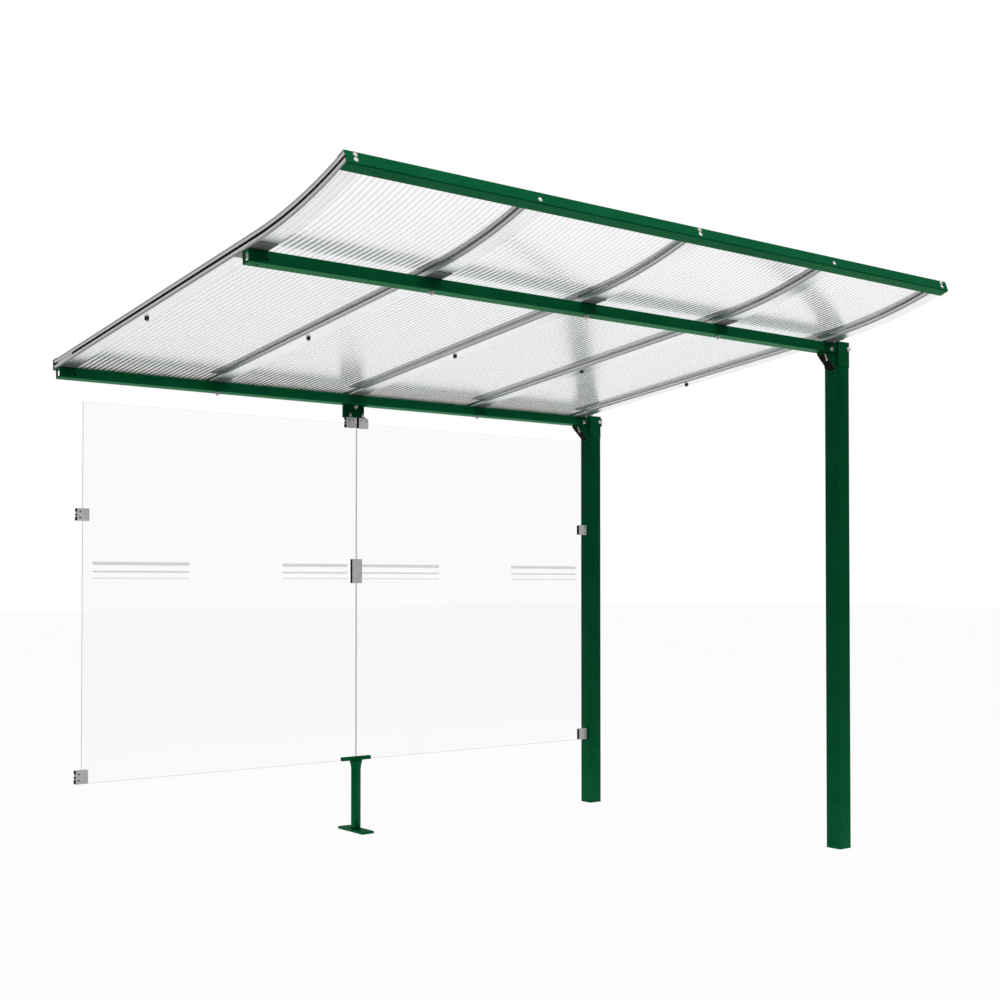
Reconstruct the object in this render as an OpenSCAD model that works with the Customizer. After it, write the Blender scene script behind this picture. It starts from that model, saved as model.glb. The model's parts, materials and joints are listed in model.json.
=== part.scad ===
// Bicycle shelter, add-on bay.
// Two posts at the right end carry two long channel beams. The left ends of the beams bolt to
// the posts of the next bay. Five grooved ribs lie across the beams, run straight from the rear,
// turn up in an arc at the front and hold four roof sheets. A glazed screen hangs between
// clamps in the plane of the rear post and stands on a small pedestal at its joint. Rubber seals
// hold the sheets in the ribs' grooves.
// X runs along the bay, Y to the rear, Z up. The origin is the middle of the front post's foot.

/* [Posts] */
// Width of the square posts
post_w = 80; // [60:5:120]
// Outer radius of the posts' rounded corners
post_r = 5; // [4:0.5:10]
// Wall of the post tubes
post_wall = 3; // [2:0.5:3.5]
// Distance from the front post to the rear post, centre to centre
post_gap_y = 1740; // [1400:10:2200]
// Height of the top of the front post's head
front_head_z = 2350; // [2100:10:2600]
// Height of the sleeve at the head of each post
head_h = 118; // [80:2:160]
// Wall of the sleeve
head_wall = 2; // [1.5:0.5:4]
// Thickness of the plate that closes each post at the foot
foot_t = 6; // [4:1:12]

/* [Beams] */
// Length of a beam from the left end plate to the post
beam_len = 3022; // [2000:1:3500]
// Height of the beam channel
beam_h = 46; // [42:1:80]
// Depth of the beam channel, front to rear
beam_d = 48; // [44:1:80]
// Sheet thickness of beams and gussets
beam_t = 3; // [2:0.5:4]
// Outer radius of the bends in the beams
beam_r = 6; // [5:0.5:10]
// How far the beam's front edge stands back from the front of the post's head
beam_setback = 11.6; // [6:0.2:20]
// Height of a beam's front edge below the top of the post's head
beam_drop = 8; // [0:1:30]
// Width and height of the slot in a beam's end plate, and radius of its corners
slot_w = 24; // [14:1:30]
slot_h = 32; // [20:1:38]
slot_r = 5; // [2:0.5:7]
// How far the slot's middle lies in front of the plate's middle
slot_off = 6; // [0:1:8]
// Length of each leg of the gusset under a beam, and of its cut tips
gusset_leg = 85; // [50:1:160]
gusset_tip = 10; // [4:1:20]
// How far the gusset's cheek stands back from the beam's front
cheek_in = 11; // [0:1:30]

/* [Roof] */
// Slope of the beams and of the roof's straight run in degrees
roof_slope = 5.92; // [0:0.01:12]
// Distance from the beams' left end to the left end of the roof
roof_start = 2.5; // [0:0.5:60]
// Distance from the head of the front post to the right end of the roof
roof_inset = 18.5; // [0:0.5:120]
// Share of the half roof that lies between the middle rib and the next one
inner_share = 0.5137; // [0.4:0.0001:0.6]
// Width of a rib
rib_w = 73; // [56:1:100]
// Height of a rib
rib_h = 41.5; // [36:0.5:60]
// Radius of the front arc, measured at the top of the ribs
arc_r = 2330; // [1000:1:5000]
// Angle of the front arc in degrees
arc_angle = 14.1; // [5:0.1:30]
// Start of the arc, measured from the front post to the front
arc_start = 72; // [0:1:300]
// Rear end of the ribs, measured from the rear post to the rear
rear_overhang = 48; // [40:1:400]
// Thickness of the roof sheets
sheet_t = 10; // [6:1:11]
// Height and depth of the sheet groove in a rib's side
groove_h = 13; // [12:0.5:16]
groove_d = 12; // [8:1:20]
// Height of the part of a rib above its groove
rib_lip_h = 13; // [9:0.5:15]
// Length of the open groove behind the cover strip of an end rib
cover_gap = 200; // [50:10:600]
// Wall of the edge channels, outer radius of their bends, and depth of their flanges
edge_t = 2.5; // [2:0.5:4]
edge_r = 5; // [4.5:0.5:8]
edge_flange = 42; // [25:1:60]
// Gap between the ribs' rear ends and the rear channel
rib_gap = 10; // [0:1:15]

/* [Saddles] */
// Width, length and thickness of a saddle plate between a beam and a rib
saddle_w = 74; // [50:1:120]
saddle_len = 174; // [80:2:260]
saddle_t = 3; // [2:0.5:8]

/* [Glazing] */
// Thickness of the glass
glass_t = 8; // [6:1:12]
// Height of the glass's lower edge above the ground
glass_z0 = 354; // [100:1:600]
// Depth of the glass's upper edge below the top of the rear post's head
glass_drop = 148.6; // [110:0.1:600]
// Distance from the rear post's middle to the glass's right edge
glass_right_x = 68; // [50:1:100]
// How far the joint of the panes lies to the right of the middle rib
glass_joint_off = 11; // [0:1:14]
// Distance from the beams' left end to the glass's left edge
glass_left_in = 116; // [60:1:600]
// Gap between the two panes at their joint
glass_gap = 4; // [2:0.5:10]
// Width, height and thickness of a glass clamp
clamp_w = 55; // [40:1:80]
clamp_h = 54; // [40:1:80]
clamp_t = 20; // [16:1:40]
// Height of the top clamps, and how far they rise above the glass
top_clamp_h = 51; // [40:1:70]
top_clamp_rise = 30; // [20:1:36]
// Distance from the joint to the middle of a top clamp
top_clamp_x = 36; // [30:1:80]
// Height of the clamps at the lower corners
corner_clamp_h = 60; // [50:1:80]
// Height of the middle of the clamps half-way up
side_clamp_z = 1527; // [1000:1:1800]
// Width of the hanger and its sheet thickness
hanger_w = 117; // [110:1:140]
hanger_t = 4; // [3:0.5:6]

/* [Pedestal] */
// Length (front to rear), width and thickness of the base plate
base_len = 228; // [120:2:400]
base_w = 68; // [60:2:200]
base_t = 12; // [6:1:15]
// Diameter of the column and of its flared top
column_d = 48; // [40:1:60]
flare_d = 62; // [60:1:110]
// Length, height and wall of the shoe that holds the glass
shoe_len = 165; // [100:5:250]
shoe_h = 18; // [12:1:40]
shoe_t = 3; // [2:0.5:6]

/* [Hidden] */
$fn = 64;

green = "#00482A";
alloy = "#A9ABAE";
clear = "#DDE3E4";
rubber = "#1A1A1A";

// Heads and beams: a beam stands under the roof's slope, its height is that of its front edge
head_w = post_w + 2 * head_wall;
head_r = post_r + head_wall;
front_beam_z = front_head_z - beam_drop;
beam_fall = post_gap_y * tan(roof_slope);
rear_head_z = front_head_z - beam_fall;
rear_beam_z = front_beam_z - beam_fall;
beam_x1 = -head_w / 2;
beam_x0 = beam_x1 - beam_len;
beam_y0 = -head_w / 2 + beam_setback;
// Line of the ribs' top: start and centre of the arc, rear end of the straight run
rib_rise = rib_h + saddle_t;
arc_y = -arc_start;
arc_z = front_beam_z + (beam_y0 - arc_y) * tan(roof_slope) + rib_rise / cos(roof_slope);
arc_cy = arc_y + arc_r * sin(roof_slope);
arc_cz = arc_z + arc_r * cos(roof_slope);
rear_y = post_gap_y + rear_overhang;
run_len = (rear_y - arc_y) / cos(roof_slope);
// Ribs, their sheet grooves and the channels over their ends
roof_x0 = beam_x0 + roof_start;
roof_x1 = beam_x1 - roof_inset;
roof_len = roof_x1 - roof_x0;
roof_mid_x = (roof_x0 + roof_x1) / 2;
rib_pitch = inner_share * (roof_len - rib_w) / 2;
rib_x = [roof_x0 + rib_w / 2, roof_mid_x - rib_pitch, roof_mid_x,
  roof_mid_x + rib_pitch, roof_x1 - rib_w / 2];
groove_top = -rib_lip_h;
groove_floor = -rib_lip_h - groove_h;
lip_flat = 6;
lip_inset = 3;
lip_drop = 7;
score_w = 1.6;
score_h = 0.8;
score_pitch = 24;
// Seals above and below a sheet, and the cover strip's distance behind the groove's mouth
seal_t = (groove_h - sheet_t) / 2;
cover_in = 2;
// Clearance from a sheet's edge to the groove's bottom
sheet_play = 1;
// Clearance from the ribs' top to the upper flange of an edge channel
edge_play = 0.3;
// Clearance from the rear saddles to the rear channel
saddle_play = 1;
// How far the saddles reach to the rear of the beam's middle: the rear ones stop at the channel
front_reach = saddle_len / 2;
rear_reach = (rear_overhang - beam_y0) / cos(roof_slope) - rib_rise * tan(roof_slope)
  + rib_gap + edge_t - edge_flange - beam_d / 2 - saddle_play;
// Glazing: its joint follows the middle rib and its upper edge the rear beam, because the hanger
// between them holds both panes
glass_y = post_gap_y;
glass_z1 = rear_head_z - glass_drop;
glass_joint_x = -roof_mid_x - glass_joint_off;
glass_left_x = -beam_x0 - glass_left_in;
pane_joint = glass_gap / 2;
// How far a cut runs past the faces it opens
over = 1;
// Facets of a small hole and of the large arcs
hole_fn = 32;
arc_fn = 720;

// Height of the ribs' top line at a place on the straight run
function rib_top(y) = arc_z - (y - arc_y) * tan(roof_slope);
// Height of the rear beam's underside
function beam_under(y) = rear_beam_z - beam_h / cos(roof_slope)
  - (y - post_gap_y - beam_y0) * tan(roof_slope);

// A 2D outline (X across, Y up from the ribs' top line) carried along the straight run and the
// arc; cut is the length left free at the rear end
module roof_run(cut = 0) {
  translate([0, arc_y, arc_z])
    rotate([-roof_slope, 0, 0]) {
      translate([0, run_len - cut, 0])
        rotate([90, 0, 0]) linear_extrude(run_len - cut) children();
      translate([0, 0, arc_r])
        rotate([180, 0, 0])
          rotate([0, -90, 0])
            rotate_extrude(angle = arc_angle, $fn = arc_fn)
              translate([arc_r, 0]) mirror([1, 1, 0]) children();
    }
}

// Square with four round corners, on the middle
module round_square(w, r) {
  square([w, w - 2 * r], center = true);
  square([w - 2 * r, w], center = true);
  for (x = [-1, 1], y = [-1, 1])
    translate([x, y] * (w / 2 - r)) circle(r);
}

// Rectangle whose two corners on the left are round
module bent_rect(d, h, r) {
  translate([r, 0]) square([d - r, h]);
  translate([0, r]) square([r, h - 2 * r]);
  for (y = [r, h - r]) translate([r, y]) circle(r);
}

// Channel outline with round bends, open on the right
module channel_outline(d, h, t, r) {
  difference() {
    bent_rect(d, h, r);
    translate([t, t]) bent_rect(d, h - 2 * t, r - t);
  }
}

// Square tube with round corners standing on z = 0
module square_tube(w, wall, r, h) {
  linear_extrude(h)
    difference() {
      round_square(w, r);
      round_square(w - 2 * wall, r - wall);
    }
}

module post(y, head_z) {
  color(green) translate([0, y, 0]) {
    square_tube(post_w, post_wall, post_r, head_z - head_wall);
    linear_extrude(foot_t) round_square(post_w - post_wall, post_r - post_wall / 2);
  }
}

// Sleeve with a closed top that slips over the post, and a strap round its front left corner
strap_w = 15;
strap_h = 51;
strap_t = 2;
strap_side = 8;
module post_head(y, head_z) {
  color(green) translate([0, y, head_z - head_h]) {
    square_tube(head_w, head_wall, head_r, head_h);
    translate([0, 0, head_h - head_wall])
      linear_extrude(head_wall) round_square(head_w - head_wall, head_r - head_wall / 2);
    translate([-head_w / 2 - strap_t, -head_w / 2 - strap_t, head_h - strap_h]) {
      cube([strap_w, strap_t, strap_h]);
      cube([strap_t, strap_side, strap_h]);
    }
  }
}

// Lug on the right of the rear head, for the beam of a further bay
lug_out = 12;
lug_t = 4;
module rear_post_lug() {
  color(green)
    translate([head_w / 2, post_gap_y - head_w / 2 + head_r, rear_beam_z - beam_h])
      cube([lug_out, lug_t, beam_h]);
}

// Frame of a beam: the origin is its front top edge at the left end, tilted with the roof
module beam_frame(y, top_z, x = beam_x0) {
  translate([x, y + beam_y0, top_z]) rotate([-roof_slope, 0, 0]) children();
}

// Slot outline with round corners, on the middle
module slot_outline() {
  square([slot_w, slot_h - 2 * slot_r], center = true);
  square([slot_w - 2 * slot_r, slot_h], center = true);
  for (x = [-1, 1], y = [-1, 1])
    translate([x * (slot_w / 2 - slot_r), y * (slot_h / 2 - slot_r)])
      circle(slot_r, $fn = hole_fn);
}

// End plate of a beam with its slot, and the plate's thickness along X
module end_plate() {
  translate([0, 0, -beam_h])
    rotate([90, 0, 90])
      linear_extrude(beam_t)
        difference() {
          bent_rect(beam_d, beam_h, beam_r);
          translate([beam_d / 2 - slot_off, beam_h / 2]) slot_outline();
        }
}

web_hole_d = 12;
web_hole_in = 66;
web_hole_drop = 30;
small_hole_d = 6;
small_hole_in = 1778;
small_hole_drop = 27;
flange_hole_in = 40;
module web_hole(d, x, drop) {
  translate([x, -over, -drop])
    rotate([-90, 0, 0]) cylinder(d = d, h = beam_t + 2 * over, $fn = hole_fn);
}

module beam(y, top_z) {
  color(green) beam_frame(y, top_z) {
    difference() {
      translate([0, 0, -beam_h])
        rotate([90, 0, 90]) linear_extrude(beam_len) channel_outline(beam_d, beam_h, beam_t, beam_r);
      web_hole(web_hole_d, web_hole_in, web_hole_drop);
      web_hole(small_hole_d, small_hole_in, small_hole_drop);
      translate([flange_hole_in, beam_d / 2, -beam_h - over])
        cylinder(d = web_hole_d, h = beam_t + 2 * over, $fn = hole_fn);
    }
    end_plate();
    translate([beam_len - beam_t, 0, 0]) end_plate();
  }
}

// Folded gusset: a strip along the slope with a short lip at each end, and a cheek with cut tips
module gusset(y, top_z) {
  leg = gusset_leg;
  tip = gusset_tip;
  bend = beam_t * tan(45 / 2);
  color(green) beam_frame(y, top_z, beam_x1)
    translate([0, beam_d, -beam_h]) rotate([90, 0, 0]) {
      linear_extrude(beam_d)
        polygon([[-leg, 0], [-leg, -tip], [-tip, -leg], [0, -leg], [0, beam_t - leg],
          [bend - tip, beam_t - leg], [beam_t - leg, bend - tip], [beam_t - leg, 0]]);
      translate([0, 0, beam_d - cheek_in - beam_t])
        linear_extrude(beam_t) polygon([[0, 0], [-leg, 0], [-leg, -tip], [-tip, -leg], [0, -leg]]);
    }
}

// Saddles: one plate on the beam under each rib
module saddles(y, beam_z, reach) {
  color(alloy)
    for (x = rib_x)
      beam_frame(y, beam_z, x - saddle_w / 2)
        translate([0, beam_d / 2 - front_reach, 0])
          cube([saddle_w, front_reach + reach, saddle_t]);
}

// Half of a rib's outline: lip, sheet groove, stepped lower side
module rib_half() {
  side = rib_w / 2;
  polygon([[0, 0], [side, 0], [side, -lip_flat], [side - lip_inset, groove_top],
    [side - groove_d, groove_top], [side - groove_d, groove_floor], [side, groove_floor],
    [side - lip_inset, groove_floor - lip_drop], [side - lip_inset, -rib_h], [0, -rib_h]]);
}

// Whole outline, with three score lines along the underside
module rib_outline() {
  difference() {
    union() {
      rib_half();
      mirror([1, 0]) rib_half();
    }
    for (k = [-1, 0, 1])
      translate([k * score_pitch - score_w / 2, -rib_h - score_h]) square([score_w, 2 * score_h]);
  }
}

module rib(i) {
  color(alloy) translate([rib_x[i - 1], 0, 0]) roof_run() rib_outline();
}

// Seals above and below the sheets in the grooves of one rib; side is 1 on the right
module rib_seals(i, side) {
  x = rib_x[i - 1] + side * (rib_w / 2 - groove_d / 2 - lip_inset / 2);
  w = groove_d - lip_inset;
  color(rubber)
    for (y = [groove_floor, groove_top - seal_t])
      roof_run() translate([x - w / 2, y]) square([w, seal_t]);
}

// Strip that fills the outer groove of an end rib, open near the rear end
module rib_cover(i, side) {
  w = groove_d - lip_inset - cover_in;
  x = rib_x[i - 1] + side * (rib_w / 2 - groove_d + w / 2);
  color(rubber)
    roof_run(cover_gap) translate([x - w / 2, groove_floor]) square([w, groove_h]);
}

module main_rib_seals() {
  rib_seals(1, 1);
  rib_seals(3, -1);
  rib_seals(3, 1);
  rib_seals(5, -1);
}

module middle_rib_seals() {
  for (i = [2, 4], side = [-1, 1]) rib_seals(i, side);
}

module end_rib_covers() {
  rib_cover(1, -1);
  rib_cover(5, 1);
}

module roof_sheet(i) {
  x0 = rib_x[i - 1] + rib_w / 2 - groove_d + sheet_play;
  x1 = rib_x[i] - rib_w / 2 + groove_d - sheet_play;
  color(clear)
    roof_run()
      translate([x0, groove_floor + seal_t]) square([x1 - x0, sheet_t]);
}

// Edge channel outline: web outside the ribs' ends, flanges over and under them
module edge_outline() {
  translate([-edge_t, -rib_h - edge_t])
    channel_outline(edge_flange, rib_h + edge_play + 2 * edge_t, edge_t, edge_r);
}

module front_edge_channel() {
  slope = roof_slope + arc_angle;
  end_y = arc_cy - arc_r * sin(slope);
  end_z = arc_cz - arc_r * cos(slope);
  color(green)
    translate([roof_x0, end_y, end_z])
      rotate([-slope, 0, 0])
        rotate([90, 0, 90]) linear_extrude(roof_len) edge_outline();
}

module rear_edge_channel() {
  color(green)
    translate([roof_x0, rear_y, rib_top(rear_y)])
      rotate([-roof_slope, 0, 0]) translate([0, rib_gap, 0])
        rotate([90, 0, 90]) linear_extrude(roof_len) mirror([1, 0]) edge_outline();
}

module glass_pane(x0, x1) {
  color(clear)
    translate([x0, glass_y - glass_t / 2, glass_z0])
      cube([x1 - x0, glass_t, glass_z1 - glass_z0]);
}

// Clamp on the middle of its body. The glass comes in from one side, up to an edge that lies
// off the middle by the given amount.
module clamp(w, h, side, off = 0) {
  big = 4 * w;
  x = side == "left" ? off - big : side == "right" ? off : -big / 2;
  z = side == "down" ? off - big : -big / 2;
  difference() {
    cube([w, clamp_t, h], center = true);
    translate([x, -glass_t / 2, z]) cube([big, glass_t, big]);
  }
}

module side_clamp(x, z, h, side) {
  color(alloy) translate([x, glass_y, z]) clamp(clamp_w, h, side);
}

module top_clamp(side) {
  z = glass_z1 + top_clamp_rise - top_clamp_h / 2;
  color(alloy)
    translate([side * top_clamp_x - glass_joint_x, glass_y, z])
      clamp(clamp_w, top_clamp_h, "down", glass_z1 - z);
}

// Folded hanger: a back plate between two cheeks, a flange bolted under the beam, and a lower
// flange that stands on the top clamps
hanger_rear = 22;
hanger_cheek = 17;
hanger_foot = 34;
hanger_hole_d = 11;
foot_hole_d = 9;
module hanger_side(points) {
  rotate([90, 0, 90]) linear_extrude(hanger_w) polygon(points);
}

module glass_hanger() {
  z0 = glass_z1 + top_clamp_rise;
  y1 = post_gap_y + hanger_rear;
  yb = y1 - hanger_t;
  yc = y1 - hanger_cheek;
  yf = y1 - hanger_foot;
  yt = post_gap_y + beam_y0 + beam_r;
  drop = hanger_t / cos(roof_slope);
  color(green) difference() {
    translate([roof_mid_x - hanger_w / 2, 0, 0]) {
      hanger_side([[yf, z0], [y1, z0], [y1, beam_under(y1)], [yt, beam_under(yt)],
        [yt, beam_under(yt) - drop], [yb, beam_under(yb) - drop], [yb, z0 + hanger_t],
        [yf, z0 + hanger_t]]);
      for (x = [0, hanger_w - hanger_t])
        translate([x, 0, 0])
          rotate([90, 0, 90]) linear_extrude(hanger_t)
            polygon([[yc, z0], [y1, z0], [y1, beam_under(y1)], [yc, beam_under(yc)]]);
    }
    for (side = [-1, 1])
      translate([side * top_clamp_x - glass_joint_x, glass_y, z0 - over])
        cylinder(d = foot_hole_d, h = hanger_t + 2 * over, $fn = hole_fn);
    beam_frame(post_gap_y, rear_beam_z, roof_mid_x)
      translate([0, beam_d / 2, -beam_h - hanger_t - over])
        cylinder(d = hanger_hole_d, h = hanger_t + 2 * over, $fn = hole_fn);
  }
}

// Two plates that clamp the joint of the panes, front and rear
joint_w = 56;
joint_h = 120;
joint_t = 6;
joint_z = 1288;
module joint_plates() {
  color(alloy)
    for (s = [-1, 1])
      translate([-glass_joint_x - joint_w / 2,
        glass_y + (s > 0 ? glass_t / 2 : -glass_t / 2 - joint_t), joint_z - joint_h / 2])
        cube([joint_w, joint_t, joint_h]);
}

module pedestal_base() {
  color(green) translate([-glass_joint_x - base_w / 2, glass_y - base_len / 2, 0])
    cube([base_w, base_len, base_t]);
}

// Column with a flare that sweeps outward in an arc and ends in a short rim
flare_h = 44;
rim_h = 7;
module pedestal_column() {
  h = glass_z0 - shoe_t - base_t;
  grow = (flare_d - column_d) / 2;
  sweep_r = (grow * grow + flare_h * flare_h) / (2 * grow);
  color(green) translate([-glass_joint_x, glass_y, base_t])
    rotate_extrude() {
      square([column_d / 2, h]);
      translate([0, h - rim_h]) square([flare_d / 2, rim_h]);
      translate([0, h - rim_h - flare_h])
        difference() {
          square([flare_d / 2, flare_h]);
          translate([column_d / 2 + sweep_r, 0]) circle(sweep_r, $fn = arc_fn);
        }
    }
}

module pedestal_shoe() {
  color(green) translate([-glass_joint_x - shoe_len / 2, glass_y - clamp_t / 2, glass_z0 - shoe_t])
    difference() {
      cube([shoe_len, clamp_t, shoe_h]);
      translate([-over, (clamp_t - glass_t) / 2, shoe_t])
        cube([shoe_len + 2 * over, glass_t, shoe_h]);
    }
}

post(0, front_head_z);  // front_post
post(post_gap_y, rear_head_z);  // rear_post
post_head(0, front_head_z);  // front_post_head
post_head(post_gap_y, rear_head_z);  // rear_post_head
rear_post_lug();
beam(0, front_beam_z);  // front_beam
beam(post_gap_y, rear_beam_z);  // rear_beam
gusset(0, front_beam_z);  // front_gusset
gusset(post_gap_y, rear_beam_z);  // rear_gusset
saddles(0, front_beam_z, front_reach);  // front_saddles
saddles(post_gap_y, rear_beam_z, rear_reach);  // rear_saddles
rib(1);  // rib_1
rib(2);  // rib_2
rib(3);  // rib_3
rib(4);  // rib_4
rib(5);  // rib_5
roof_sheet(1);  // roof_sheet_1
roof_sheet(2);  // roof_sheet_2
roof_sheet(3);  // roof_sheet_3
roof_sheet(4);  // roof_sheet_4
main_rib_seals();
middle_rib_seals();
end_rib_covers();
front_edge_channel();
rear_edge_channel();
glass_pane(-glass_left_x, -glass_joint_x - pane_joint);  // glass_left
glass_pane(-glass_joint_x + pane_joint, -glass_right_x);  // glass_right
glass_hanger();
top_clamp(-1);  // top_clamp_left
top_clamp(1);  // top_clamp_right
joint_plates();
side_clamp(-glass_left_x, side_clamp_z, clamp_h, "right");  // left_clamp_upper
side_clamp(-glass_left_x, glass_z0 + corner_clamp_h / 2, corner_clamp_h, "right");  // left_clamp_lower
side_clamp(-glass_right_x, side_clamp_z, clamp_h, "left");  // right_clamp_upper
side_clamp(-glass_right_x, glass_z0 + corner_clamp_h / 2, corner_clamp_h, "left");  // right_clamp_lower
pedestal_base();
pedestal_column();
pedestal_shoe();
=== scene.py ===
"""The looks of the bicycle shelter bay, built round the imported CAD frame. Metres, +Z up."""

import json
import math

import bmesh
import bpy
from mathutils import Euler, Matrix, Vector


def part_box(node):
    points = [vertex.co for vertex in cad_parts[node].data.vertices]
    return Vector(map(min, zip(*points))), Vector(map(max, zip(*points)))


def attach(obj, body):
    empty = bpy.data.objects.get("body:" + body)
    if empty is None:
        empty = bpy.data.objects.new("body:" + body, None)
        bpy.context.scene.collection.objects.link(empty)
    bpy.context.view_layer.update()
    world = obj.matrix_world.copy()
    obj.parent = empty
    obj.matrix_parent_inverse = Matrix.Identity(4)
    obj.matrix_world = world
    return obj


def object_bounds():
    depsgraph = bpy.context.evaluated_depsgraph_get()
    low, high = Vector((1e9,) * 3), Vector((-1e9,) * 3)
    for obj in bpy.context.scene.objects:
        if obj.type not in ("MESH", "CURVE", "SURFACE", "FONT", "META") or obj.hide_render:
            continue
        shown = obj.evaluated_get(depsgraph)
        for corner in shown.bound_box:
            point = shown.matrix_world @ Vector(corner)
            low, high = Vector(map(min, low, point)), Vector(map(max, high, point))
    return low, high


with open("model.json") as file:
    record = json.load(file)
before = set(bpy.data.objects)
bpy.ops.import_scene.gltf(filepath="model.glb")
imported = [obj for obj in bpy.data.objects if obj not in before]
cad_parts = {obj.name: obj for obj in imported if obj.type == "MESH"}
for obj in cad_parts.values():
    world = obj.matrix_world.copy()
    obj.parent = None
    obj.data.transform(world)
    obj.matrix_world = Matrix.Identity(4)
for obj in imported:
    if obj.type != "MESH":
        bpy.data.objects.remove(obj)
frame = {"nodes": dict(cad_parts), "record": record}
nodes = frame["nodes"]
cad_lo, cad_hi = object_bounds()

MM = 0.001

# Values of the CAD that the pieces follow, in metres and radians
SLOPE = math.radians(5.92)
ARC_R = 2.330
ARC_ANGLE = math.radians(14.1)
ARC_START = 0.072
RIB_H = 41.5 * MM
SHEET_TOP = -14.5 * MM
SHEET_LOW = -24.5 * MM
FLUTE = 23.8 * MM

# ---------------------------------------------------------------- materials


def new_material(name):
    """An empty node material: (material, node tree, Principled node)."""
    material = bpy.data.materials.new(name)
    material.use_nodes = True
    tree = material.node_tree
    return material, tree, tree.nodes["Principled BSDF"]


def object_coordinates(tree, scale=(1, 1, 1)):
    """Socket with the object's own coordinates, in metres, stretched by scale."""
    source = tree.nodes.new("ShaderNodeTexCoord")
    mapping = tree.nodes.new("ShaderNodeMapping")
    mapping.inputs["Scale"].default_value = scale
    tree.links.new(source.outputs["Object"], mapping.inputs["Vector"])
    return mapping.outputs["Vector"]


def noise(tree, vector, scale, detail=3.0):
    """Socket with a noise value of about 0 to 1."""
    node = tree.nodes.new("ShaderNodeTexNoise")
    node.inputs["Scale"].default_value = scale
    node.inputs["Detail"].default_value = detail
    tree.links.new(vector, node.inputs["Vector"])
    return node.outputs["Fac"]


def math_node(tree, operation, *values):
    """Socket with the result of a math node; each value is a socket or a number."""
    node = tree.nodes.new("ShaderNodeMath")
    node.operation = operation
    for slot, value in enumerate(values):
        if isinstance(value, (int, float)):
            node.inputs[slot].default_value = value
        else:
            tree.links.new(value, node.inputs[slot])
    return node.outputs["Value"]


def blend(tree, factor, low, high):
    """Socket with a colour between low and high, by factor from 0.35 to 0.65."""
    ramp = tree.nodes.new("ShaderNodeValToRGB")
    ramp.color_ramp.elements[0].position = 0.35
    ramp.color_ramp.elements[1].position = 0.65
    ramp.color_ramp.elements[0].color = (*low, 1)
    ramp.color_ramp.elements[1].color = (*high, 1)
    tree.links.new(factor, ramp.inputs["Fac"])
    return ramp.outputs["Color"]


def between(tree, factor, low, high, start=0.3, end=0.7):
    """Socket with a number that runs from low to high as factor runs from start to end."""
    node = tree.nodes.new("ShaderNodeMapRange")
    node.inputs["From Min"].default_value = start
    node.inputs["From Max"].default_value = end
    node.inputs["To Min"].default_value = low
    node.inputs["To Max"].default_value = high
    tree.links.new(factor, node.inputs["Value"])
    return node.outputs["Result"]


def bump(tree, shader, height, strength, distance):
    """Bends the shader's normals by a height socket."""
    node = tree.nodes.new("ShaderNodeBump")
    node.inputs["Strength"].default_value = strength
    node.inputs["Distance"].default_value = distance
    tree.links.new(height, node.inputs["Height"])
    tree.links.new(node.outputs["Normal"], shader.inputs["Normal"])


def mix_shaders(tree, share, low, high):
    """Shader socket between two shader sockets; the share of the second is a socket or a number."""
    mix = tree.nodes.new("ShaderNodeMixShader")
    if isinstance(share, (int, float)):
        mix.inputs["Fac"].default_value = share
    else:
        tree.links.new(share, mix.inputs["Fac"])
    tree.links.new(low, mix.inputs[1])
    tree.links.new(high, mix.inputs[2])
    return mix.outputs["Shader"]


def show(tree, surface):
    """Makes a shader socket the surface of the node tree's material."""
    tree.links.new(surface, tree.nodes["Material Output"].inputs["Surface"])


def paint_material():
    """Powder coat: slight colour drift, fine orange peel, and a half-metallic base that stays dark
    green in diffuse light and green in its reflections."""
    material, tree, shader = new_material("green_powder_coat")
    where = object_coordinates(tree)
    drift = noise(tree, where, 6.0)
    colour = blend(tree, drift, (0.002, 0.104, 0.036), (0.003, 0.118, 0.042))
    tree.links.new(colour, shader.inputs["Base Color"])
    tree.links.new(between(tree, noise(tree, where, 60.0), 0.34, 0.44), shader.inputs["Roughness"])
    shader.inputs["Metallic"].default_value = 0.5
    shader.inputs["Specular IOR Level"].default_value = 0.1
    shader.inputs["Specular Tint"].default_value = (0.3, 1.0, 0.55, 1)
    bump(tree, shader, noise(tree, where, 900.0, 2.0), 0.25, 0.0002)
    return material


def alloy_material(name, low, high, rough, stretch, metallic=1.0, grain=0.12):
    """Satin alloy with fine drawing lines along one direction."""
    material, tree, shader = new_material(name)
    lines = noise(tree, object_coordinates(tree, stretch), 1.0, 5.0)
    clouds = noise(tree, object_coordinates(tree), 14.0)
    tree.links.new(blend(tree, clouds, low, high), shader.inputs["Base Color"])
    tree.links.new(between(tree, lines, rough - 0.05, rough + 0.07), shader.inputs["Roughness"])
    shader.inputs["Metallic"].default_value = metallic
    bump(tree, shader, lines, grain, 0.0002)
    return material


def rubber_material(name, low, high):
    """Seal rubber, dull, with a fine grain."""
    material, tree, shader = new_material(name)
    where = object_coordinates(tree)
    tree.links.new(blend(tree, noise(tree, where, 80.0), low, high), shader.inputs["Base Color"])
    tree.links.new(between(tree, noise(tree, where, 300.0), 0.55, 0.75), shader.inputs["Roughness"])
    shader.inputs["Specular IOR Level"].default_value = 0.08
    bump(tree, shader, noise(tree, where, 1200.0, 2.0), 0.3, 0.0003)
    return material


def glancing_share(tree, straight):
    """Share that a surface mirrors: straight on it is the given value, and 1 at a glancing angle."""
    weight = tree.nodes.new("ShaderNodeLayerWeight")
    weight.inputs["Blend"].default_value = 0.5
    fifth = math_node(tree, "POWER", weight.outputs["Facing"], 5.0)
    return math_node(tree, "MULTIPLY_ADD", fifth, 1.0 - straight, straight)


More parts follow.
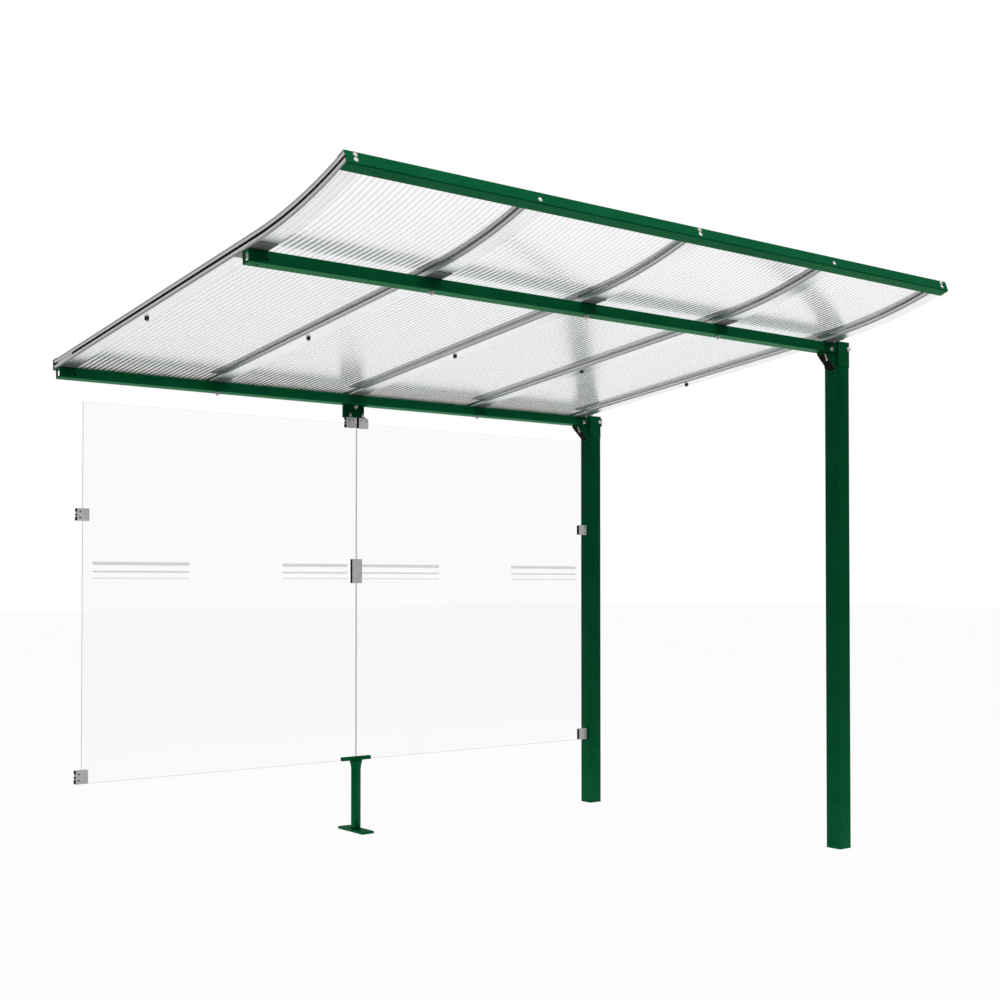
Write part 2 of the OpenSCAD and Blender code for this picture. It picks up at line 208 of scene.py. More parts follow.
def see_through(tree, shader, tint, share):
    """Lays the shader over what is behind it, by a share from 0 to 1; gives back the clear node."""
    clear = tree.nodes.new("ShaderNodeBsdfTransparent")
    clear.inputs["Color"].default_value = (*tint, 1)
    show(tree, mix_shaders(tree, share, clear.outputs["BSDF"], shader.outputs[0]))
    return clear


def gloss(tree, colour, roughness_socket):
    """A glossy shader node."""
    node = tree.nodes.new("ShaderNodeBsdfGlossy")
    node.inputs["Color"].default_value = (*colour, 1)
    tree.links.new(roughness_socket, node.inputs["Roughness"])
    return node


def skin_material():
    """Roof sheets: clear polycarbonate with a soft gloss."""
    material, tree, _ = new_material("polycarbonate_skin")
    lines = noise(tree, object_coordinates(tree, (700, 6, 6)), 1.0)
    shader = gloss(tree, (0.97, 0.98, 0.98), between(tree, lines, 0.20, 0.25))
    share = math_node(tree, "MULTIPLY", glancing_share(tree, 0.05), 0.8)
    see_through(tree, shader, (1, 1, 1), share)
    return material


def web_material():
    """Webs inside the roof sheets: clear straight on, grey at a glancing angle."""
    material, tree, shader = new_material("polycarbonate_web")
    lines = noise(tree, object_coordinates(tree, (6, 6, 700)), 1.0)
    tree.links.new(blend(tree, lines, (0.40, 0.41, 0.41), (0.44, 0.45, 0.45)), shader.inputs["Base Color"])
    shader.inputs["Roughness"].default_value = 0.5
    shader.inputs["Specular IOR Level"].default_value = 0.0
    share = math_node(tree, "MULTIPLY_ADD", glancing_share(tree, 0.0), 1.6, 0.02)
    see_through(tree, shader, (1, 1, 1), math_node(tree, "MINIMUM", share, 0.5))
    return material


def root_material():
    """Thick roots of the webs: grey bands that mirror more than the skin between them."""
    material, tree, shader = new_material("polycarbonate_root")
    lines = noise(tree, object_coordinates(tree, (6, 6, 700)), 1.0)
    tree.links.new(blend(tree, lines, (0.68, 0.69, 0.69), (0.74, 0.75, 0.75)), shader.inputs["Base Color"])
    tree.links.new(between(tree, lines, 0.16, 0.20), shader.inputs["Roughness"])
    shader.inputs["Metallic"].default_value = 0.9
    share = math_node(tree, "MULTIPLY_ADD", glancing_share(tree, 0.0), 2.0, 0.45)
    see_through(tree, shader, (1, 1, 1), math_node(tree, "MINIMUM", share, 0.93))
    return material


def glass_material():
    """Clear float glass whose cut edges are grey."""
    material, tree, _ = new_material("clear_glass")
    waves = noise(tree, object_coordinates(tree), 3.0)
    shader = gloss(tree, (0.96, 0.97, 0.97), between(tree, waves, 0.02, 0.04))
    clear = see_through(tree, shader, (0.995, 0.997, 0.997), glancing_share(tree, 0.02))
    geometry = tree.nodes.new("ShaderNodeNewGeometry")
    split = tree.nodes.new("ShaderNodeSeparateXYZ")
    tree.links.new(geometry.outputs["Normal"], split.inputs["Vector"])
    flat = math_node(tree, "ABSOLUTE", split.outputs["Y"])
    tree.links.new(blend(tree, flat, (0.50, 0.52, 0.52), (0.995, 0.997, 0.997)), clear.inputs["Color"])
    return material


def etched_material():
    """Stripes etched into the glass."""
    material, tree, shader = new_material("etched_stripe")
    grain = noise(tree, object_coordinates(tree), 400.0)
    tree.links.new(blend(tree, grain, (0.52, 0.53, 0.53), (0.58, 0.59, 0.59)), shader.inputs["Base Color"])
    shader.inputs["Roughness"].default_value = 0.8
    see_through(tree, shader, (1, 1, 1), between(tree, grain, 0.48, 0.54))
    return material


def tape_material():
    """White tape that lets the daylight above it glow through."""
    material, tree, shader = new_material("sealing_tape")
    grain = noise(tree, object_coordinates(tree, (200, 900, 200)), 1.0)
    colour = blend(tree, grain, (0.80, 0.77, 0.78), (0.88, 0.85, 0.86))
    tree.links.new(colour, shader.inputs["Base Color"])
    shader.inputs["Roughness"].default_value = 0.4
    glow = tree.nodes.new("ShaderNodeBsdfTranslucent")
    tree.links.new(colour, glow.inputs["Color"])
    show(tree, mix_shaders(tree, 0.75, shader.outputs["BSDF"], glow.outputs["BSDF"]))
    return material


PAINT = paint_material()
RIB_ALLOY = alloy_material("rib_alloy", (0.96, 0.97, 0.97), (0.99, 1.0, 1.0), 0.29, (900, 8, 900), 0.95, 0.02)
SADDLE_ALLOY = alloy_material("saddle_alloy", (0.24, 0.24, 0.25), (0.28, 0.28, 0.29), 0.40,
                              (40, 700, 40), 0.3)
CLAMP_ALLOY = alloy_material("clamp_alloy", (0.65, 0.65, 0.65), (0.71, 0.71, 0.71), 0.40,
                             (300, 300, 40), 0.15)
STAINLESS = alloy_material("stainless", (0.84, 0.78, 0.80), (0.92, 0.86, 0.88), 0.25, (400, 400, 400), 0.35)
TAPE = tape_material()
# Dark steel of the rib nuts, whose dark also serves as painted shade in the clamp screws' sockets
DARK_STEEL_AND_SHADE = alloy_material("dark_steel_and_shade", (0.05, 0.045, 0.045), (0.07, 0.06, 0.06), 0.4, (400, 400, 400))
# Black rubber of the clamp linings, whose black also serves as painted shade on the gussets' slopes and in
# the beams' holes
BLACK_RUBBER_AND_SHADE = rubber_material("black_rubber", (0.004, 0.004, 0.004), (0.009, 0.009, 0.009))
GREY_RUBBER = rubber_material("grey_rubber", (0.30, 0.30, 0.31), (0.36, 0.36, 0.37))
SKIN = skin_material()
WEB = web_material()
ROOT = root_material()
GLASS = glass_material()
ETCHED = etched_material()

MATERIAL_OF_SLOT = {"green_paint": PAINT, "rib_alloy": RIB_ALLOY, "saddle_alloy": SADDLE_ALLOY,
                    "clamp_alloy": CLAMP_ALLOY, "roof_polycarbonate": SKIN, "glass": GLASS,
                    "black_rubber": BLACK_RUBBER_AND_SHADE, "grey_rubber": GREY_RUBBER}

# Nodes whose sharp edges are eased, with the width of the edge in millimetres
EASED = {"saddles": 0.5, "clamp": 1.2, "joint_plates": 1.0, "pedestal": 1.0, "gusset": 0.8, "hanger": 0.8}


def dress_nodes():
    """Gives each CAD node its procedural material and softens the edges of the small ones."""
    for part in frame["record"]["subparts"]:
        name = part["node"]
        node = nodes[name]
        node.data.materials.clear()
        node.data.materials.append(MATERIAL_OF_SLOT[part["material_slot"]])
        for word, width in EASED.items():
            if word in name:
                node.modifiers.new("weld", "WELD").merge_threshold = 0.01 * MM
                bevel = node.modifiers.new("bevel", "BEVEL")
                bevel.width = width * MM
                bevel.segments = 2
                bevel.limit_method = "ANGLE"
                bevel.angle_limit = math.radians(50)


dress_nodes()

# ---------------------------------------------------------------- mesh helpers


def add_mesh(name, bm, material):
    """Makes a piece from a bmesh that is in row coordinates, riding on the one body."""
    mesh = bpy.data.meshes.new(name)
    bmesh.ops.recalc_face_normals(bm, faces=bm.faces)
    bm.to_mesh(mesh)
    bm.free()
    mesh.materials.append(material)
    obj = bpy.data.objects.new(name, mesh)
    bpy.context.scene.collection.objects.link(obj)
    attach(obj, "root")


def at(x, y, z):
    """Upright matrix at a point of the row, given in millimetres."""
    return Matrix.Translation(Vector((x, y, z)) * MM)


def seat(base, point, axis):
    """Matrix of a fastener: its Z runs along axis from a point, both in the base's own frame (mm)."""
    turn = Vector(axis).to_track_quat("Z", "Y").to_matrix().to_4x4()
    return base @ Matrix.Translation(Vector(point) * MM) @ turn


def lathe(bm, place, profile, sides=24):
    """Revolves (radius, height) pairs in millimetres about the place's Z axis."""
    rings = []
    for radius, height in profile:
        if radius == 0:
            rings.append([bm.verts.new(place @ (Vector((0, 0, height)) * MM))] * sides)
            continue
        ring = []
        for k in range(sides):
            angle = 2 * math.pi * k / sides
            corner = Vector((radius * math.cos(angle), radius * math.sin(angle), height))
            ring.append(bm.verts.new(place @ (corner * MM)))
        rings.append(ring)
    for low, high in zip(rings, rings[1:]):
        for k in range(sides):
            after = (k + 1) % sides
            corners = []
            for vert in (low[k], low[after], high[after], high[k]):
                if vert not in corners:
                    corners.append(vert)
            bm.faces.new(corners)


def block(bm, place, size, ease):
    """A box with its middle on the place, in millimetres, with eased edges."""
    made = bmesh.ops.create_cube(bm, size=1.0, matrix=place @ Matrix.Diagonal((*[v * MM for v in size], 1)))
    edges = {edge for vert in made["verts"] for edge in vert.link_edges}
    bmesh.ops.bevel(bm, geom=list(edges), offset=ease * MM, segments=2, affect="EDGES", profile=0.5)


def dome_bolt(bm, place, diameter, height):
    """Button head with a round socket, standing on the place."""
    r = diameter / 2
    socket = 0.26 * diameter
    lathe(bm, place, [(0, 0), (r, 0), (r, 0.22 * height), (0.92 * r, 0.55 * height),
                      (0.76 * r, 0.84 * height), (0.58 * r, height), (socket, height),
                      (0.9 * socket, 0.45 * height), (0, 0.4 * height)])


def nut_and_end(bm, place, nut_d, nut_h, bolt_d, reach):
    """Washer, six-sided nut and the threaded end of the bolt that stands out of it."""
    washer_h = 1.6
    lathe(bm, place, [(0, 0), (0.62 * nut_d, 0), (0.62 * nut_d, washer_h), (0, washer_h)])
    corner = nut_d / 2 / math.cos(math.pi / 6)
    top = washer_h + nut_h
    lathe(bm, place, [(0, washer_h), (corner, washer_h), (corner, top - 0.8), (0.88 * corner, top),
                      (0, top)], 6)
    thread = [(0, top)]
    turns = 4
    for k in range(turns):
        low = top + reach * k / turns
        thread += [(bolt_d / 2 - 0.6, low + 0.1), (bolt_d / 2, low + reach / turns / 2)]
    thread += [(bolt_d / 2 - 0.8, top + reach), (0, top + reach)]
    lathe(bm, place, thread, 16)


# ---------------------------------------------------------------- the roof's run

rib_lo, rib_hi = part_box("rib_1")
REAR_Y = rib_hi.y
REAR_Z = rib_lo.z + RIB_H * math.cos(SLOPE)
STRAIGHT = (REAR_Y + ARC_START) / math.cos(SLOPE)
RUN = STRAIGHT + ARC_R * ARC_ANGLE


def run_turn(s):
    """Slope of the roof at a distance s from its rear end, along the ribs' top."""
    return SLOPE + max(0.0, s - STRAIGHT) / ARC_R


def run_point(s, off):
    """(y, z) of the run at s, off above the ribs' top line."""
    start = min(s, STRAIGHT)
    y = REAR_Y - start * math.cos(SLOPE)
    z = REAR_Z + start * math.sin(SLOPE)
    if s > STRAIGHT:
        turn = run_turn(s)
        y += ARC_R * (math.sin(SLOPE) - math.sin(turn))
        z += ARC_R * (math.cos(SLOPE) - math.cos(turn))
    turn = run_turn(s)
    return y + off * math.sin(turn), z + off * math.cos(turn)


def run_frame(s, x):
    """Frame on the ribs' top line: X along the bay, Y to the rear along the run, Z away from it."""
    y, z = run_point(s, 0.0)
    return Matrix.Translation((x, y, z)) @ Matrix.Rotation(-run_turn(s), 4, "X")


RIB_X = []
for number in range(1, 6):
    low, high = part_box("rib_%d" % number)
    RIB_X.append((low.x + high.x) / 2)


# Sealing tape at the sheets' rear ends: its width along the run, and how far it lies inside the sheet
TAPE_W = 0.134
TAPE_INSET = 0.5 * MM

# Webs of the sheets: how far they stay inside the sheet, half a root's width, and steps along the run
WEB_INSET = 0.2 * MM
ROOT_HALF = 4.5 * MM
STRAIGHT_STEPS = 4
ARC_STEPS = 14


def end_tapes():
    """Tape that seals the flutes along each sheet's rear end, inside its lower skin."""
    bm = bmesh.new()
    for number in range(1, 5):
        low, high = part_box("roof_sheet_%d" % number)
        left, right = low.x + TAPE_INSET, high.x - TAPE_INSET
        corners = [(x, *run_point(s, SHEET_LOW + TAPE_INSET))
                   for x, s in ((left, TAPE_INSET), (right, TAPE_INSET), (right, TAPE_W), (left, TAPE_W))]
        bm.faces.new([bm.verts.new(corner) for corner in corners])
    add_mesh("sheet_end_tapes", bm, TAPE)


def run_strip(bm, ends, steps):
    """A strip along the run, between two (x, height over the ribs' top line) points."""
    rows = [[bm.verts.new((x, *run_point(s, off))) for x, off in ends] for s in steps]
    for a, b in zip(rows, rows[1:]):
        bm.faces.new((a[0], b[0], b[1], a[1]))


def roof_flutes():
    """Webs of the multiwall sheets and their roots: one per flute, along the whole run."""
    steps = [STRAIGHT * k / STRAIGHT_STEPS for k in range(STRAIGHT_STEPS)]
    steps += [STRAIGHT + (RUN - STRAIGHT) * k / ARC_STEPS for k in range(ARC_STEPS + 1)]
    foot, top = SHEET_LOW + WEB_INSET, SHEET_TOP - WEB_INSET
    for number in range(1, 5):
        low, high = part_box("roof_sheet_%d" % number)
        webs = bmesh.new()
        roots = bmesh.new()
        first = math.ceil((low.x + ROOT_HALF + WEB_INSET) / FLUTE - 0.5)
        last = math.floor((high.x - ROOT_HALF - WEB_INSET) / FLUTE - 0.5)
        for x in ((k + 0.5) * FLUTE for k in range(first, last + 1)):
            run_strip(webs, ((x, foot), (x, top)), steps)
            run_strip(roots, ((x - ROOT_HALF, foot), (x + ROOT_HALF, foot)), steps)
        add_mesh("sheet_%d_flutes" % number, webs, WEB)
        add_mesh("sheet_%d_flute_roots" % number, roots, ROOT)


roof_flutes()
end_tapes()

# ---------------------------------------------------------------- fasteners

# Ways that fasteners point: three in a beam's or the run's own frame, and the last in the world's
WEB_OUT = (0, -1, 0)
DOWN = (0, 0, -1)
BACK = (0, 1, 0)
FRONT = (0, -1, 0)
WORLD = Matrix.Identity(4)

# A beam's section, in millimetres, and where its end mount lies on it, to the rear and up
BEAM_D = 48.0
BEAM_H = 46.0
BEAM_T = 3.0
BEAM_END_IN = (39.0, -23.0)
# Bolt in the web, and small bolt under the last saddle in front of the beam:
# (place from the beam's right end, way out, diameter, height)
END_BOLTS = (((-36.5, 0, -31), WEB_OUT, 20, 6), ((-34, -20, 1), DOWN, 10, 5))
# Holes from the beam's left end: (place, way out of the beam, diameter)
BEAM_HOLES = (((66, 0, -30), WEB_OUT, 12), ((1778, 0, -27), WEB_OUT, 6), ((40, 24, -BEAM_H), DOWN, 12))
# The nut at the rear beam's middle sits under the hanger, whose sheet is this thick
HANGER_T = 4.0
# Bolt in a post head's front, from its right edge and its top, and half the head's depth in metres.
# The strap makes the head's box 2 mm deeper than the head, so this bolt stands 1 mm off the face.
HEAD_BOLT_IN = 11.4
HEAD_BOLT_DROP = 31.5
HEAD_HALF = 0.042
# Black sheet of painted shade on a gusset's slope, for the shade in its open side: its upper and lower edge,
# as (x from the beam's right end, z from its underside), its front and rear edge, and how far it stands off
# the slope in x and in z
SLOPE_TOP = (-84, -11)
SLOPE_LOW = (-14, -81)
SHADE_FRONT = 3
SHADE_BACK = BEAM_D - 1.5
SHADE_LIFT = 0.25
# The gusset's bolt: its foot, as (x from the beam's right end, y, z from its underside), and its way out
GUSSET_BOLT = (-80.6, 5, -14)
GUSSET_BOLT_WAY = (11, 0, -30)

# Heights of the edge channels' bolts, from the ribs' top line, and how far their heads stand out
CHANNEL_BOLTS = (-10.5, -27.0)
HEAD_RISE = 3.5
FLAT_RISE = 1.5
# Wall of the edge channels, and the gap between the ribs' rear ends and the rear channel
EDGE_T = 2.5
RIB_GAP = 10.0
# Distance of the bolts under the ribs from the front post, in metres
UNDER_BOLT_Y = 0.890


def beam_frame(which):
    """Frame of a beam: the origin is its front top edge at the left end, tilted with the roof."""
    mount = next(m for m in frame["record"]["mounts"] if m["name"] == which + "_beam_end")
    tilt = Matrix.Rotation(-SLOPE, 4, "X")
    inner = tilt @ Vector((0, BEAM_END_IN[0] * MM, BEAM_END_IN[1] * MM))
    return Matrix.Translation(Vector(mount["pos_m"]) - inner) @ tilt


def hole_shade_cup(bm, base, point, axis, hole):
    """Black cup inside a hole of a beam: painted shade that stands for the dark inside of the beam seen
    through the hole.
    """
    r = hole / 2
    lathe(bm, seat(base, point, [-v for v in axis]),
          [(0, BEAM_T), (r - 0.1, BEAM_T), (r - 0.1, 0.4), (0.7 * r, 0.4), (0.66 * r, 1.6), (0, 1.6)])


def gusset_bolt(bm, base, length):
    """Bolt that hangs out of a gusset's slope in front of its cheek, and shows its shank and head."""
    x, y, z = GUSSET_BOLT
    place = seat(base, (length + x, y, -BEAM_H + z), GUSSET_BOLT_WAY)
    lathe(bm, place, [(0, 0), (2.4, 0), (2.4, 25), (5, 25), (5, 28), (3.4, 31), (0, 32)], 12)


def lay_gusset_shade(bm, base, length):
    """Black sheet on a gusset's slope: painted shade that stands for the shade in its open side."""
    corners = [base @ (Vector((length + x - SHADE_LIFT, y, z - BEAM_H - SHADE_LIFT)) * MM)
               for (x, z), y in ((SLOPE_TOP, SHADE_FRONT), (SLOPE_TOP, SHADE_BACK),
                                 (SLOPE_LOW, SHADE_BACK), (SLOPE_LOW, SHADE_FRONT))]
    bm.faces.new([bm.verts.new(corner) for corner in corners])


def beam_fasteners():
    """Bolts and nuts of both beams, their gussets and the post heads, with painted shade in the beams' holes
    and on the gussets' slopes.
    """
    domes = bmesh.new()
    nuts = bmesh.new()
    hole_shade = bmesh.new()
    slope_shade = bmesh.new()
    for which in ("front", "rear"):
        base = beam_frame(which)
        left = base.translation.x
        length = (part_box(which + "_beam")[1].x - left) / MM
        for (x, y, z), axis, diameter, height in END_BOLTS:
            dome_bolt(domes, seat(base, (length + x, y, z), axis), diameter, height)
        for number in (1, 2, 3):
            across = (RIB_X[number] - left) / MM
            drop = -BEAM_H - (HANGER_T if which == "rear" and number == 2 else 0.0)
            under = seat(base, (across, BEAM_D / 2, drop), DOWN)
            nut_and_end(nuts, under, nut_d=17, nut_h=8, bolt_d=10, reach=5)
        for point, axis, hole in BEAM_HOLES:
            hole_shade_cup(hole_shade, base, point, axis, hole)
        head_lo, head_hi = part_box(which + "_post_head")
        face = Vector((head_hi.x, (head_lo.y + head_hi.y) / 2 - HEAD_HALF, head_hi.z)) / MM
        head_bolt = (face.x - HEAD_BOLT_IN, face.y, face.z - HEAD_BOLT_DROP)
        dome_bolt(domes, seat(WORLD, head_bolt, FRONT), diameter=21, height=9)
        gusset_bolt(domes, base, length)
        lay_gusset_shade(slope_shade, base, length)
    # painted shade: the black sheets on the gussets' slopes
    add_mesh("gusset_painted_shade", slope_shade, BLACK_RUBBER_AND_SHADE)
    add_mesh("beam_bolts", domes, STAINLESS)
    add_mesh("beam_nuts", nuts, STAINLESS)
    # painted shade: black cups in the beams' holes
    add_mesh("beam_hole_painted_shade", hole_shade, BLACK_RUBBER_AND_SHADE)


def roof_fasteners():
    """Bolts of both edge channels, and one bolt under each rib half-way between the beams."""
    domes = bmesh.new()
    nuts = bmesh.new()
    under_s = (REAR_Y - UNDER_BOLT_Y) / math.cos(SLOPE)
    for number, x in enumerate(RIB_X):
        heights = CHANNEL_BOLTS if number % 2 == 0 else CHANNEL_BOLTS[1:]
        front = run_frame(RUN, x)
        for height in heights:
            # the lower heads are flat, so that they stay inside the CAD's box
            rise = FLAT_RISE if height == CHANNEL_BOLTS[1] else HEAD_RISE
            dome_bolt(domes, seat(front, (0, -EDGE_T, height), WEB_OUT), diameter=16, height=rise)
        rear = run_frame(0.0, x)
        for height in heights:
            dome_bolt(domes, seat(rear, (0, RIB_GAP + EDGE_T, height), BACK), diameter=18, height=HEAD_RISE)
        under = seat(run_frame(under_s, x), (0, 0, -RIB_H / MM), DOWN)
        lathe(nuts, under, [(0, 0), (9.8, 0), (9.8, 8), (8.6, 9), (0, 9)], 6)
        lathe(domes, under, [(0, 9), (5.4, 9), (5.4, 13), (4.4, 14), (0, 14)], 16)
    add_mesh("roof_bolts", domes, STAINLESS)
    add_mesh("rib_nuts", nuts, DARK_STEEL_AND_SHADE)


beam_fasteners()
roof_fasteners()

# ---------------------------------------------------------------- glazing fittings


# Screws of a clamp, in millimetres: of a side clamp from its middle, of a top clamp from middle and top
SIDE_SCREW_OUT = 14.5
SIDE_SCREW_UP = 13.5
TOP_SCREW_OUT = 13
TOP_SCREW_DROP = 12.5
# Rubber blobs on a clamp's left side: (middle, height), as shares of the clamp's height, then their
# thickness and how far their middle lies outside the clamp
BLOBS = ((0.36, 0.24), (-0.02, 0.12), (-0.34, 0.28))
BLOB_T = 4.4
BLOB_OUT = 1.2
# Lining of a whole left side: its thickness, and how far its middle lies inside
SIDE_T = 1.0
SIDE_IN = 0.1
# How much less deep and less high the rubber is than its clamp
SHORT_Y = 3
SHORT_Z = 4
# Block between the top clamps: its width and depth, and its middle's distance from their front
GAP_W = 10
GAP_D = 8
GAP_IN = 4.5
# Bolts of the joint plates, from their top and from their foot
PLATE_BOLT_DROP = 19
PLATE_BOLT_RISE = 22
# Stripes on the panes: (height over the joint plates' middle, width), and how far they stand off
STRIPES = ((27, 15), (-9, 8), (-38, 4))
STRIPE_OUT = 0.2
# Each pane's two bands: from its left edge, and from its right edge
BANDS = (("glass_left", (45, 502), (414, 51)), ("glass_right", (24, 496), (505, 49)))


def clamp_screw(rings, socket_shade, x, y, z):
    """Flat screw in the front of a clamp, with a dark disc on its middle: painted shade that stands for the
    shade in its socket.
    """
    place = seat(WORLD, (x, y, z), FRONT)
    lathe(rings, place, [(0, 0), (5, 0), (5, 0.6), (4.2, 1.0), (0, 1.0)])
    lathe(socket_shade, place, [(0, 1.0), (4.1, 1.0), (3.8, 1.3), (0, 1.3)], 12)


def side_lining(bm, low, high):
    """Rubber along the whole left side of a clamp or of the joint plates."""
    mid = (low + high) / 2
    size = (SIDE_T, high.y - low.y - SHORT_Y, high.z - low.z - SHORT_Z)
    block(bm, at(low.x + SIDE_IN, mid.y, mid.z), size, ease=0.2)


def clamp_fittings():
    """Screws, bolts and rubber linings of the glass clamps and of the joint plates."""
    rings = bmesh.new()
    socket_shade = bmesh.new()
    linings = bmesh.new()
    for name in ("left_clamp_upper", "left_clamp_lower", "right_clamp_upper", "right_clamp_lower",
                 "top_clamp_left", "top_clamp_right"):
        low, high = (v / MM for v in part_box(name))
        mid = (low + high) / 2
        if name.startswith("top"):
            z = high.z - TOP_SCREW_DROP
            spots = [(mid.x - TOP_SCREW_OUT, z), (mid.x + TOP_SCREW_OUT, z)]
        else:
            x = mid.x - SIDE_SCREW_OUT if name.startswith("left") else mid.x + SIDE_SCREW_OUT
            spots = [(x, mid.z - SIDE_SCREW_UP), (x, mid.z + SIDE_SCREW_UP)]
        for x, z in spots:
            clamp_screw(rings, socket_shade, x, low.y, z)
        width = high.y - low.y
        height = high.z - low.z
        if name == "top_clamp_right":
            size = (GAP_W, GAP_D, height - SHORT_Z)
            block(linings, at(low.x - GAP_W / 2, low.y + GAP_IN, mid.z), size, ease=0.2)
        if name.startswith("right") or name == "top_clamp_right":
            side_lining(linings, low, high)
        else:
            for share, tall in BLOBS:
                size = (BLOB_T, width - SHORT_Y, tall * height)
                block(linings, at(low.x - BLOB_OUT, mid.y, mid.z + share * height), size, ease=0.3)
    low, high = (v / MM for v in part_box("joint_plates"))
    side_lining(linings, low, high)
    for z in (high.z - PLATE_BOLT_DROP, low.z + PLATE_BOLT_RISE):
        place = seat(WORLD, ((low.x + high.x) / 2, low.y, z), FRONT)
        dome_bolt(rings, place, diameter=14, height=7)
    add_mesh("clamp_screws", rings, STAINLESS)
    # painted shade: the dark discs that stand for the shade in the screws' sockets
    add_mesh("screw_socket_painted_shade", socket_shade, DARK_STEEL_AND_SHADE)
    add_mesh("clamp_linings", linings, BLACK_RUBBER_AND_SHADE)


def hanger_bolts():
    """Bolt ends with washers that stand out of the top clamps through the hanger's lower flange."""
    bm = bmesh.new()
    flange_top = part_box("glass_hanger")[0].z / MM + HANGER_T
    for name in ("top_clamp_left", "top_clamp_right"):
        low, high = (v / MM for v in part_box(name))
        place = seat(WORLD, ((low.x + high.x) / 2, (low.y + high.y) / 2, flange_top), (0, 0, 1))
        lathe(bm, place, [(0, 0), (11, 0), (11, 2), (7.6, 2), (7.6, 8), (6.4, 9.5), (4, 10), (4, 16),
                          (3, 17), (0, 17)])
    add_mesh("hanger_bolts", bm, STAINLESS)


def glass_stripes():
    """Plain stripes on the panes' front, in bands with a bare place between them."""
    bm = bmesh.new()
    plate_lo, plate_hi = (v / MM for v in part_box("joint_plates"))
    plate_z = (plate_lo.z + plate_hi.z) / 2
    for name, from_left, from_right in BANDS:
        low, high = (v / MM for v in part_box(name))
        front = low.y - STRIPE_OUT
        for x0, x1 in ([low.x + v for v in from_left], [high.x - v for v in from_right]):
            for up, tall in STRIPES:
                foot, top = plate_z + up - tall / 2, plate_z + up + tall / 2
                corners = [(x0, foot), (x1, foot), (x1, top), (x0, top)]
                bm.faces.new([bm.verts.new((x * MM, front * MM, z * MM)) for x, z in corners])
    add_mesh("glass_stripes", bm, ETCHED)


clamp_fittings()
hanger_bolts()
glass_stripes()

# ---------------------------------------------------------------- floor, light, camera


# Half the floor's side, in metres
FLOOR_HALF = 60.0


def seen_directly(tree):
    """Socket that is 1 for the camera's own rays and those that pass through glass."""
    path = tree.nodes.new("ShaderNodeLightPath")
    return math_node(tree, "MAXIMUM", path.outputs["Is Camera Ray"], path.outputs["Is Transmission Ray"])


def seen_in_gloss(tree):
    """Socket that is 1 for rays off a glossy surface."""
    return tree.nodes.new("ShaderNodeLightPath").outputs["Is Glossy Ray"]


def make_floor():
    """A plain pale floor that reads white, keeps a faint shadow, and is brighter to the rear and to
    the right where a glossy surface mirrors it."""
    bm = bmesh.new()
    bmesh.ops.create_grid(bm, x_segments=1, y_segments=1, size=FLOOR_HALF)
    mesh = bpy.data.meshes.new("floor")
    bm.to_mesh(mesh)
    bm.free()
    floor = bpy.data.objects.new("floor", mesh)
    bpy.context.scene.collection.objects.link(floor)
    material, tree, shader = new_material("floor")
    shader.inputs["Base Color"].default_value = (0.5, 0.5, 0.5, 1)
    shader.inputs["Emission Color"].default_value = (1, 1, 1, 1)
    shader.inputs["Emission Strength"].default_value = 0.02
    shader.inputs["Roughness"].default_value = 0.9
    shader.inputs["Specular IOR Level"].default_value = 0.0
    white = tree.nodes.new("ShaderNodeEmission")
    pool = tree.nodes.new("ShaderNodeEmission")
    split = tree.nodes.new("ShaderNodeSeparateXYZ")
    tree.links.new(object_coordinates(tree), split.inputs["Vector"])
    pool_share = math_node(tree, "MULTIPLY", between(tree, split.outputs["Y"], 0.1, 1.0, -4.0, 0.5),
                           between(tree, split.outputs["X"], 0.5, 1.0, -3.5, -1.0))
    tree.links.new(pool_share, pool.inputs["Strength"])
    seen = mix_shaders(tree, math_node(tree, "MULTIPLY", seen_directly(tree), 0.96),
                       shader.outputs["BSDF"], white.outputs["Emission"])
    show(tree, mix_shaders(tree, seen_in_gloss(tree), seen, pool.outputs["Emission"]))
    mesh.materials.append(material)


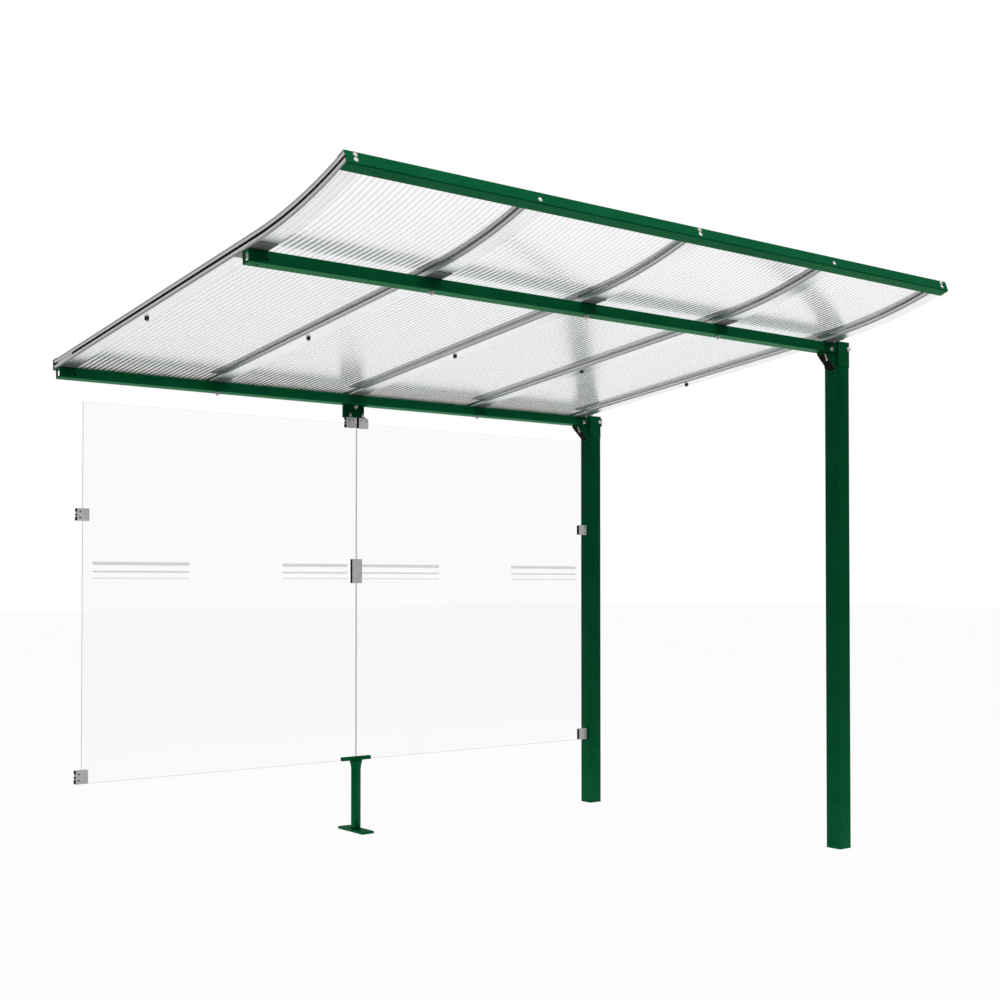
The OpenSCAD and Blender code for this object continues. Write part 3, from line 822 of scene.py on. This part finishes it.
def make_world():
    """Soft grey light that is stronger from above, white where it is seen, and in glossy surfaces
    brighter with height and to the rear."""
    world = bpy.data.worlds.new("studio")
    bpy.context.scene.world = world
    world.use_nodes = True
    tree = world.node_tree
    light = tree.nodes["Background"]
    light.inputs["Color"].default_value = (1, 1, 1, 1)
    white = tree.nodes.new("ShaderNodeBackground")
    white.inputs["Color"].default_value = (1, 1, 1, 1)
    sky = tree.nodes.new("ShaderNodeBackground")
    source = tree.nodes.new("ShaderNodeTexCoord")
    split = tree.nodes.new("ShaderNodeSeparateXYZ")
    tree.links.new(source.outputs["Generated"], split.inputs["Vector"])
    tree.links.new(between(tree, split.outputs["Z"], 0.24, 0.56, 0.0, 0.8), light.inputs["Strength"])
    height = between(tree, split.outputs["Z"], 0.0, 0.65, 0.25, 0.7)
    rear = between(tree, split.outputs["Y"], 0.05, 0.25, -0.6, 0.7)
    tree.links.new(math_node(tree, "ADD", height, rear), sky.inputs["Strength"])
    seen = mix_shaders(tree, seen_directly(tree), light.outputs["Background"], white.outputs["Background"])
    whole = mix_shaders(tree, seen_in_gloss(tree), seen, sky.outputs["Background"])
    tree.links.new(whole, tree.nodes["World Output"].inputs["Surface"])


def add_lamp(name, place, target, size, power):
    """A square soft lamp at place, aimed at target, that glossy surfaces don't mirror."""
    data = bpy.data.lights.new(name, "AREA")
    data.size = size
    data.energy = power
    lamp = bpy.data.objects.new(name, data)
    lamp.location = place
    lamp.visible_glossy = False
    lamp.rotation_euler = (Vector(target) - Vector(place)).to_track_quat("-Z", "Y").to_euler()
    bpy.context.scene.collection.objects.link(lamp)


def add_camera():
    """The photograph's view: 1.2 m up, in front of the bay and to the left of its open end."""
    data = bpy.data.cameras.new("camera")
    data.sensor_width = 36.0
    data.lens = 50.26
    data.shift_y = 0.060
    camera = bpy.data.objects.new("camera", data)
    camera.location = (-5.221, -4.198, 1.224)
    camera.rotation_euler = Euler((math.radians(90.985), 0, math.radians(-37.604)))
    bpy.context.scene.collection.objects.link(camera)
    bpy.context.scene.camera = camera


middle = (cad_lo + cad_hi) / 2
make_floor()
make_world()
add_lamp("key", (-0.6, -4.4, 7.0), (-1.4, 0.0, 1.7), size=2.5, power=330)
add_lamp("side", (-7.0, -2.4, 7.4), middle, size=2.5, power=70)
add_camera()

scene = bpy.context.scene
scene.view_settings.view_transform = "Standard"
bpy.context.view_layer.update()
